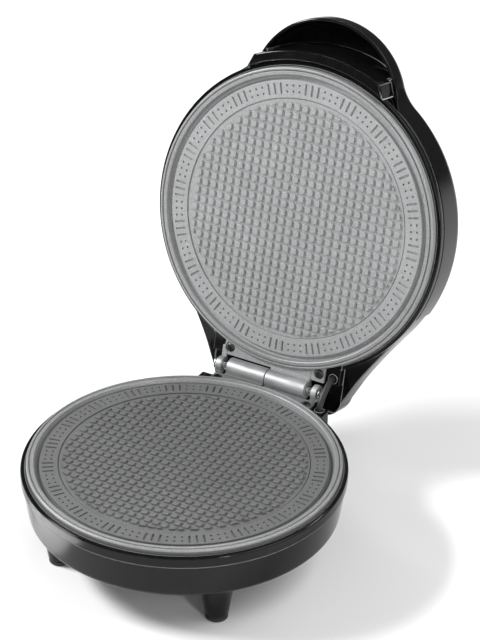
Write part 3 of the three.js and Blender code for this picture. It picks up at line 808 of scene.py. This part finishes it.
def hinge_seat(low, high, edge, plate_room, shell_room):
    """The block under a hinge tab, cleared for the plate and the shell over their heights."""
    seat = block("seat", (-SEAT_X, BAKE * 0.8, low), (SEAT_X, TAB_END, high), edge)
    plate = disc("under_plate", *plate_room, RIM - 3.8)
    return combine(seat, "DIFFERENCE", [plate, disc("inside", *shell_room, BODY - 3.6)])


def base_bowl():
    """The hollow bowl with its legs, the seat for the hinge tab and its holes."""
    opening = 58
    inner = [
        (opening, -BOWL_DEPTH),
        (opening, -BOWL_DEPTH + 2),
        (BODY - 15, -31),
        (BODY - 8.5, -28.6),
        (BODY - 5.6, -25),
        (BODY - 4.2, -19),
        (BODY - 3, -SEAM - 0.3),
    ]
    bowl = turned("base_bowl", BOWL + inner)
    seat = hinge_seat(-15, TAB_BOTTOM - 0.3, 1.2, (-5.3, 1), (-20, -5.1))
    legs = []
    foot_holes = []
    for corner in CORNERS:
        x, y = foot_place(corner)
        legs.append(flared_leg("leg", x, y) if y < 0 else straight_leg("leg", x, y))
        foot_holes.append(upright("foot_hole", x, y, LEG_TIP - 1, LEG_TIP + 6, 2.2, 24))
    combine(bowl, "UNION", [seat, *legs])
    holes = [upright("hole", x, TAB_SCREW_Y, -14, 0, 1.9) for x in (-TAB_SCREW_X, TAB_SCREW_X)]
    holes.append(upright("lead_hole", LINK_X, LINK_BASE_Y, -20, 0, LINK_HOLE))
    gland_start = around(GLAND_START - 14, GLAND_ANGLE, GLAND_HEIGHT)
    gland_end = around(GLAND_START + 26, GLAND_ANGLE, GLAND_HEIGHT)
    holes.append(plain_rod("gland_hole", gland_start, gland_end, 5.9, 0))
    return combine(bowl, "DIFFERENCE", holes + foot_holes)


finished(base_bowl(), BASE, "base", BLACK, ["base_shell"])


def collar_ring():
    """The ring between the bowl and the plate's rim, open at the rear for the hinge tab."""
    profile = rounded([
        (RIM + 0.5, -2.2, 0.2),
        (BODY, -2.2, 1.3),
        (BODY, -SEAM, 0.9),
        (RIM - 3.4, -SEAM, 0.2),
        (RIM - 3.4, -3.3, 0.1),
        (RIM + 0.5, -3.3, 0.1),
    ])
    ring = turned("base_collar", profile)
    notch = block("notch", (-SEAT_X - 0.3, 60, -20), (SEAT_X + 0.3, 120, 0), 0)
    return combine(ring, "DIFFERENCE", [notch])


finished(collar_ring(), BASE, "base", BLACK, ["base_collar_ring"])


def underside_cover():
    """The sheet under the base, with a pressed groove, five vent slots and its screw holes."""
    edge, groove = 66, 55.2
    low = COVER_TOP - COVER_SHEET
    profile = rounded([
        (0, COVER_TOP, 0),
        (edge, COVER_TOP, 0.2),
        (edge, low, 1.1),
        (groove + 0.8, low, 0.3),
        (groove, low + 0.5, 0.3),
        (groove - 0.8, low, 0.3),
        (0, low, 0),
    ], closed=False)
    cover = turned("underside_cover", profile)
    cutters = [
        block("slot", (-16, y - 1.5, COVER_TOP - 6), (16, y + 1.5, COVER_TOP + 6), 1.4)
        for y in (-18, -9, 0, 9, 18)
    ]
    for i in range(4):
        at = around(COVER_SCREWS, i * math.pi / 2, 0)
        cutters.append(upright("hole", at.x, at.y, -50, -20, 1.8, 24))
    return combine(cover, "DIFFERENCE", cutters)


finished(underside_cover(), BASE, "base", SHEET_COAT, ["base_bottom_cover"])


def gland():
    """A bushing in the wall with a collar outside and ribs that let the lead bend."""
    length = 14
    corners = [
        (3.4, 0, 0.3), (5.6, 0, 0.3), (5.6, 7, 0.2), (7.2, 7, 0.4), (7.2, 8.6, 0.5), (5.6, 9, 0.3),
        (5.5, 10, 0.3), (4.7, 10.4, 0.2), (4.7, 11.2, 0.2), (5.3, 11.6, 0.3), (5.2, 12.6, 0.3),
        (4.5, 13, 0.2), (4.4, length, 0.3), (3.4, length, 0.3),
    ]
    profile = [(p.x, p.y / length) for p in rounded(corners, steps=2)]
    start = around(GLAND_START, GLAND_ANGLE, GLAND_HEIGHT)
    end = around(GLAND_START + length, GLAND_ANGLE, GLAND_HEIGHT)
    return rod("cord_bushing", start, end, profile)


finished(gland(), BASE, "base", RUBBER, ["cord_gland"])

# -------------------- lid: inner shell with the tail

WALL = 2
ROOF = 28.8
COVER_END = BAKE * 0.5
LID_SEAM = 7
SEAT_DEPTH = 3.5
TAIL_FRONT = 9
TAIL_END = BAKE * 1.4


def rear_outline(inset, front_y):
    """The shell behind the cover: the round wall, drawn in by concave curves to the narrower tail."""
    wall = BODY - 0.5 - inset
    start = math.asin(front_y / wall)
    leave = math.radians(36)
    half = [around(wall, start + (leave - start) * step / 16, 0).to_2d() for step in range(17)]
    first = half[-1].copy()
    knee = Vector((BAKE * 0.658 - inset, BAKE * 1.008))
    side = Vector((BAKE * 0.586 - inset, BAKE * 1.167))
    half += [bend(first, knee, side, step / 12) for step in range(1, 13)]
    narrow = BAKE * 0.535 - inset
    end = TAIL_END - inset
    corner = max(12 - inset, 2)
    low = Vector((narrow, end - corner))
    turn = Vector((narrow - 2.5, end))
    last = Vector((narrow - corner - 3, end))
    half += [bend(low, turn, last, step / 8) for step in range(9)]
    return half + [Vector((-p.x, p.y)) for p in reversed(half)]


def tail_block(name, front_y, levels):
    """A solid with the tail's outline through (inset, depth) levels."""
    return lofted(name, [raised(rear_outline(inset, front_y), depth) for inset, depth in levels])


def rounded_top(depth, reach, steps=6):
    """(inset, depth) levels of a quarter round that ends at a depth."""
    angles = [math.pi / 2 * i / steps for i in range(1, steps + 1)]
    return [(reach * (1 - math.cos(a)), depth - reach + reach * math.sin(a)) for a in angles]


def inner_shell():
    """The ring round the upper plate, joined to the hollow tail that covers the hinge."""
    ring_profile = rounded([
        (RIM + 0.5, 3, 0.2),
        (BODY - 0.2, 3, 1.1),
        (BODY - 0.2, LID_SEAM, 0.3),
        (BODY - 2.3, LID_SEAM, 0.1),
        (BODY - 2.3, ROOF - 5, 0),
        (BODY - 4.2, ROOF, 0),
        (BODY - 6.2, ROOF, 0),
        (BODY - 4.3, ROOF - 5.2, 0),
        (BODY - 4.3, 5, 0),
        (RIM + 0.5, 5, 0.2),
    ])
    shell = turned("lid_inner_moulding", ring_profile)
    front_y = COVER_END + 0.3
    front_levels = [(1.2, TAIL_FRONT), (0.35, TAIL_FRONT + 0.3), (0, TAIL_FRONT + 1.3)]
    tail = tail_block("tail", front_y, [*front_levels, (0, ROOF - 6), *rounded_top(ROOF, 5)])
    room = tail_block("room", COVER_END - 20, [(WALL, TAIL_FRONT + WALL), (WALL, ROOF - WALL)])
    combine(tail, "DIFFERENCE", [disc("inside", 2, ROOF - WALL, BODY - 4.3), room])
    skirt_in, skirt_out = BODY - 4.5, BODY - 0.5
    skirt = turned("skirt", [
        (skirt_in, 4.4), (skirt_out - 0.2, 4.4), (skirt_out, 5), (skirt_out, 12), (skirt_in, 12),
    ])
    combine(skirt, "INTERSECT", [block("rear", (-BEYOND, front_y, 0), (BEYOND, BEYOND, 60), 0)])
    roof = disc("roof", ROOF - WALL, ROOF, BODY - 5)
    near = block("near", (-BEYOND, BAKE * 0.28, 0), (BEYOND, COVER_END + 4, 60), 0)
    combine(roof, "INTERSECT", [near])
    seat = hinge_seat(SEAT_DEPTH, 15, 1, (-1, 5.3), (5.1, 20))
    combine(shell, "UNION", [tail, skirt, roof, seat])
    open_x, open_y = SEAT_X + 0.3, 122
    cutters = [
        block("barrels", (-open_x, TAB_END, -10), (open_x, open_y, TAIL_FRONT + 0.6), 0.5),
        block("tab", (-open_x, 60, -10), (open_x, open_y, SEAT_DEPTH), 0),
        upright("lead_hole", LINK_X, LINK_LID_Y, 0, 14, LINK_HOLE),
    ]
    cutters += [upright("hole", x, TAB_SCREW_Y, 0, 14.9, 1.9) for x in (-TAB_SCREW_X, TAB_SCREW_X)]
    return combine(shell, "DIFFERENCE", cutters)


finished(inner_shell(), LID, "lid", BLACK, ["lid_inner_shell"])

# -------------------- lid: outer cover with the hood handle

HOOD_Y = -BAKE * 0.84
HOOD = BAKE * 0.588
HOOD_LIP = 17.5
COVER_EDGE = LID_SEAM + 0.3
SHOULDER = 10.8
CROWN = 1.1
BAND_OUT = BAKE * 1.205
BAND_IN = BODY + 0.3
CREASE = BAKE * 1.215
RECESS_HALF = math.radians(23)
LENS_X = 9
LENS_Y = -58


def cover_outline(inset):
    """The lid's round wall with the hood's arc flowing out of it, and each point's share of the hood."""
    wall, hood, fillet = BODY - inset, HOOD - inset, 30 + inset
    y = ((hood + fillet) ** 2 - (wall + fillet) ** 2 - HOOD_Y**2) / (-2 * HOOD_Y)
    x = math.sqrt((wall + fillet) ** 2 - y**2)
    on_wall = math.atan2(x, -y)
    on_hood = math.atan2(x, HOOD_Y - y)
    points = [(towards_handle(wall, math.pi + (on_wall - math.pi) * step / 72), 0) for step in range(73)]
    start = math.atan2(-y, -x)
    end = math.atan2(HOOD_Y - y, -x)
    for step in range(1, 18):
        share = step / 18
        angle = start + (end - start) * share
        at = Vector((x + fillet * math.cos(angle), y + fillet * math.sin(angle)))
        points.append((at, share * share * (3 - 2 * share)))
    points += [(towards_handle(hood, on_hood * (1 - step / 32), HOOD_Y), 1) for step in range(33)]
    return points + [(Vector((-p.x, p.y)), share) for p, share in reversed(points[1:-1])]


def edge_depth(share):
    """The cover's edge runs deeper round the hood, where it becomes the hood's lip."""
    return COVER_EDGE + (HOOD_LIP - COVER_EDGE) * share


def crown_depth(share):
    """Depth of the slightly crowned top, from its border (0) to its middle (1)."""
    return LID_DEPTH - CROWN + CROWN * (1 - (1 - share) ** 2)


def cover_skin():
    """The cover's outside as a solid: lip or front edge, wall, rounded shoulder and crowned top."""
    rings = [[lifted(p.normalized() * (RIM + 0.9), edge_depth(share)) for p, share in cover_outline(0)]]
    for inset, above in ((1.1, 0), (0.5, 0.15), (0.15, 0.5), (0, 1.2)):
        rings.append([lifted(p, edge_depth(share) + above) for p, share in cover_outline(inset)])
    flat_depth = LID_DEPTH - CROWN
    inmost = 46
    levels = [(0, flat_depth - SHOULDER), *rounded_top(flat_depth, SHOULDER, 9)]
    levels += [(inset, crown_depth(inset / inmost / 2)) for inset in (16, 23, 31, 39, inmost)]
    for inset, depth in levels:
        rings.append([lifted(p, depth) for p, share in cover_outline(inset)])
    last = rings[-1]
    for scale in (0.75, 0.5, 0.25, 0.05):
        rings.append(raised([p * scale for p in last], crown_depth(1 - scale / 2)))
    return lofted("lid_cover_moulding", rings)


def trim_rear(obj):
    """Ends the cover short of the hinge with a square end whose edge is rounded."""
    bm = bmesh.new()
    bm.from_mesh(obj.data)
    everything = bm.verts[:] + bm.edges[:] + bm.faces[:]
    place = {"plane_co": (0, COVER_END, 0), "plane_no": (0, 1, 0)}
    bmesh.ops.bisect_plane(bm, geom=everything, clear_outer=True, **place)
    cut_edges = [e for e in bm.edges if e.is_boundary]
    bmesh.ops.contextual_create(bm, geom=cut_edges)
    rim = [e for e in cut_edges if e.is_valid and all(v.co.z > COVER_EDGE + 2 for v in e.verts)]
    bmesh.ops.bevel(bm, geom=rim, offset=1.0, segments=4, profile=0.5, affect="EDGES", clamp_overlap=True)
    bmesh.ops.recalc_face_normals(bm, faces=bm.faces)
    bm.to_mesh(obj.data)
    bm.free()


def roof_depth(depth, t):
    """The recess's roof drops towards its corners (t = -1 and 1), inside the hood's rounded shoulder."""
    return depth if depth < HOOD_LIP else HOOD_LIP + (depth - HOOD_LIP) * (1 - 0.5 * t**4)


def recess():
    """The hollow behind the hood: from the lip its roof curves up and in to a crease along the band."""
    count = 48
    far = HOOD - 2.4
    corner_y = (CREASE**2 - far**2 + HOOD_Y**2) / (2 * HOOD_Y)
    corner_x = math.sqrt(CREASE**2 - corner_y**2)
    crease_half = math.atan2(corner_x, -corner_y)
    lip_half = math.atan2(corner_x, HOOD_Y - corner_y)
    roof = HOOD_LIP + 1.1
    levels = [(HOOD_LIP - 3, 0.9, 0), (HOOD_LIP, 0.9, 0), (HOOD_LIP + 0.3, 0.35, 0), (roof, 0, 0)]
    levels += [(depth, 0, share / 17) for share, depth in rounded_top(roof + 17, 17, 12)]
    rings = []
    for depth, spare, share in levels:
        ring = []
        for i in range(count + 1):
            t = 1 - 2 * i / count
            lip = towards_handle(far + spare, t * lip_half, HOOD_Y)
            crease = towards_handle(CREASE, t * crease_half)
            ring.append(lifted(lip.lerp(crease, share * 0.998), roof_depth(depth, t)))
        for i in range(count + 1):
            t = 2 * i / count - 1
            inner = towards_handle(BAND_OUT - 1.1, t * crease_half * 0.985)
            ring.append(lifted(inner, roof_depth(depth, t)))
        rings.append(ring)
    return lofted("recess", rings)


def outer_cover():
    """The cover, hollow over the whole lid, with the finger recess, two lens holes and two screw bosses."""
    cover = cover_skin()
    trim_rear(cover)
    hollow = turned("hollow", [
        (0, 2),
        (BODY - WALL, 2),
        (BODY - WALL, 25),
        (BODY - 3, 28.4),
        (BODY - 5.4, 32),
        (BODY - 9.5, LID_DEPTH - 4.6),
        (BODY - 15, LID_DEPTH - 3.3),
        (0, LID_DEPTH - 2.6),
    ])
    end = block("end", (-BEYOND, COVER_END - WALL, ROOF + 0.3), (BEYOND, BEYOND, 80), 0)
    combine(hollow, "DIFFERENCE", [end])
    lens_holes = [upright("lens_hole", x, LENS_Y, 20, 60, 3.1) for x in (-LENS_X, LENS_X)]
    combine(cover, "DIFFERENCE", [hollow, recess(), *lens_holes])
    low, high = Vector((0, 34, ROOF + 0.3)), Vector((0, 34, LID_DEPTH - 1.5))
    sides = (Vector((-46, 0, 0)), Vector((46, 0, 0)))
    return combine(cover, "UNION", [plain_rod("boss", side + low, side + high, 4.2) for side in sides])


finished(outer_cover(), LID, "lid", BLACK, ["lid_outer_cover"], crease=38)


def band_outline(inset, low_radius, high_radius, low_half, high_half):
    """A sector of a ring along the handle side, its ends cut on a slant."""
    steps = 48
    high, low = high_radius - inset, low_radius + inset
    outer_half = high_half - inset / high
    inner_half = low_half - inset / low
    outer = [towards_handle(high, outer_half * (2 * i / steps - 1)) for i in range(steps + 1)]
    return outer + [towards_handle(low, inner_half * (1 - 2 * i / steps)) for i in range(steps + 1)]


def grip():
    """The bar along the plate's edge that the fingers close against, and the recess's inner wall."""
    bar_shape = (BAND_IN, BAND_OUT, math.radians(28.3), math.radians(24.6))
    front, edge = 0.6, 1.1
    rings = []
    for angle in (0, 0.4, 0.8, 1.2, math.pi / 2):
        outline = band_outline(edge - edge * math.sin(angle), *bar_shape)
        rings.append(raised(outline, front + edge - edge * math.cos(angle)))
    rings.append(raised(band_outline(0, *bar_shape), HOOD_LIP - 0.3))
    bar = lofted("inner_grip_bar", rings)
    wall_low = raised(band_outline(0, BAND_OUT - 1, BAND_OUT, RECESS_HALF, RECESS_HALF), HOOD_LIP - 1)
    corner = RECESS_HALF + math.radians(0.8)
    wall_high = [
        lifted(p, roof_depth(HOOD_LIP + 18, math.atan2(p.x, -p.y) / corner))
        for p in band_outline(0, BAND_OUT - 1, CREASE - 0.1, RECESS_HALF, RECESS_HALF)
    ]
    return combine(bar, "UNION", [lofted("wall", [wall_low, wall_high])])


finished(grip(), LID, "lid", BLACK, ["handle_inner_grip"], crease=38)


def lens(name, x):
    """A round lens through the cover, held by a collar inside it."""
    stem = 2.8
    low, top = LID_DEPTH - 7.3, LID_DEPTH - 0.6
    return turned_at(name, x, LENS_Y, [
        (0, low, 0),
        (stem, low, 0.2),
        (stem, low + 1, 0),
        (stem + 1.2, low + 1, 0.2),
        (stem + 1.2, low + 2, 0.2),
        (stem, low + 2, 0),
        (stem, top, 0.3),
        (stem - 0.6, top + 0.9, 0.6),
        (0, top + 1.1, 0),
    ], segments=48)


finished(lens("power_lamp_lens", -LENS_X), LID, "lid", RED_LENS, ["power_lens"])
finished(lens("ready_lamp_lens", LENS_X), LID, "lid", GREEN_LENS, ["ready_lens"])

# -------------------- lead between base and lid


def through(a, b, c, d, t):
    """The point at share t from b to c on a smooth curve that also passes a and d."""
    square = (a * 2 - b * 5 + c * 4 - d) * t * t
    return (b * 2 + (c - a) * t + square + (b * 3 - a - c * 3 + d) * t**3) / 2


def link_lead():
    """A sheathed lead from the base, beside the hinge, into the lid, laid as it runs with the lid open."""
    lid_to_base = BASE.inverted() @ LID
    route = [
        Vector((LINK_X, LINK_BASE_Y, -12)),
        Vector((LINK_X, LINK_BASE_Y, -2)),
        Vector((LINK_X, HINGE_Y - 4.6, 5.4)),
        lid_to_base @ Vector((LINK_X, LINK_LID_Y, 2.5)),
        lid_to_base @ Vector((LINK_X, LINK_LID_Y, 13)),
    ]
    extended = [route[0] * 2 - route[1], *route, route[-1] * 2 - route[-2]]
    centres = []
    for spans in zip(extended, extended[1:], extended[2:], extended[3:]):
        centres += [through(*spans, step / 10) for step in range(10)]
    centres.append(route[-1])
    across = Vector((1, 0, 0))
    turns = [2 * math.pi * k / 20 for k in range(20)]
    rings = []
    for before, centre, after in zip(centres[:1] + centres, centres, centres[1:] + centres[-1:]):
        up = (after - before).normalized().cross(across)
        rings.append([centre + (across * math.cos(a) + up * math.sin(a)) * LINK_RADIUS for a in turns])
    return lofted("link_lead_sheath", rings)


lead = link_lead()
lead.data.transform(BASE)
lead.data.materials.append(MATT_BLACK)
lead.data.shade_smooth()
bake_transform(lead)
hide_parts("link_lead")

# -------------------- carried-over CAD pieces

CARRIED = {
    SHEATH_METAL: ["lower_heating_element", "upper_heating_element"],
    SHEET_METAL: ["lower_heat_shield", "upper_heat_shield"],
    SCREW_METAL: [n for n in frame["nodes"] if "screw" in n],
    CERAMIC: ["terminal_block"],
    SLEEVE: ["thermal_fuse"],
    MATT_BLACK: ["thermostat"],
    BOARD: ["lamp_board"],
}
for finish, names in CARRIED.items():
    for name in names:
        mesh = frame["nodes"][name].data
        mesh.materials.clear()
        mesh.materials.append(finish)

# -------------------- floor, world and lights


def make_floor():
    floor = new_object("floor", [(-6, -6, 0), (6, -6, 0), (6, 6, 0), (-6, 6, 0)], [[0, 1, 2, 3]])
    m = Nodes("floor")
    m.set(Roughness=0.9, IOR=1.2)
    color = m.colours(m.noise(3, 2), 0.3, 0.7, grey(0.84), grey(0.87))
    floor.data.materials.append(m.finish(color))


def area_light(name, position, target, size, power):
    """A rectangular light that faces its target."""
    data = bpy.data.lights.new(name, "AREA")
    data.shape = "RECTANGLE"
    data.size, data.size_y = size
    data.energy = power
    light = bpy.data.objects.new(name, data)
    facing = (Vector(target) - Vector(position)).to_track_quat("-Z", "Y").to_matrix().to_4x4()
    light.matrix_world = Matrix.Translation(position) @ facing
    bpy.context.scene.collection.objects.link(light)
    return light


def make_light():
    """A soft key from the left, a fill from above, strips for the edges, and a beam beside the base."""
    world = bpy.data.worlds.new("world")
    world.use_nodes = True
    background = world.node_tree.nodes["Background"]
    background.inputs["Color"].default_value = (1, 1, 1, 1)
    background.inputs["Strength"].default_value = 0.12
    bpy.context.scene.world = world
    middle = (0, 0, 0.12)
    area_light("key", (-1.7, -0.75, 1.6), middle, (0.9, 0.4), 80)
    area_light("front", (1.0, -1.75, 0.7), middle, (4.0, 0.12), 12)
    area_light("fill", (1.3, 0.3, 1.8), middle, (1.4, 1.4), 26)
    area_light("back", (0.2, 1.3, 1.5), middle, (2.4, 0.12), 14)
    area_light("right", (1.5, -1.0, 0.8), middle, (0.08, 1.2), 9)
    # The beam falls on the floor beside the base, and the bowl's left wall mirrors its bright patch.
    x, y = -0.1385, CENTRE_Y - 0.1307
    glow = area_light("glow", (x, y, 0.5), (x - 0.001, y, 0), (0.07, 0.07), 3)
    glow.data.spread = math.radians(10)
    bpy.context.scene.view_settings.view_transform = "Standard"


make_floor()
make_light()
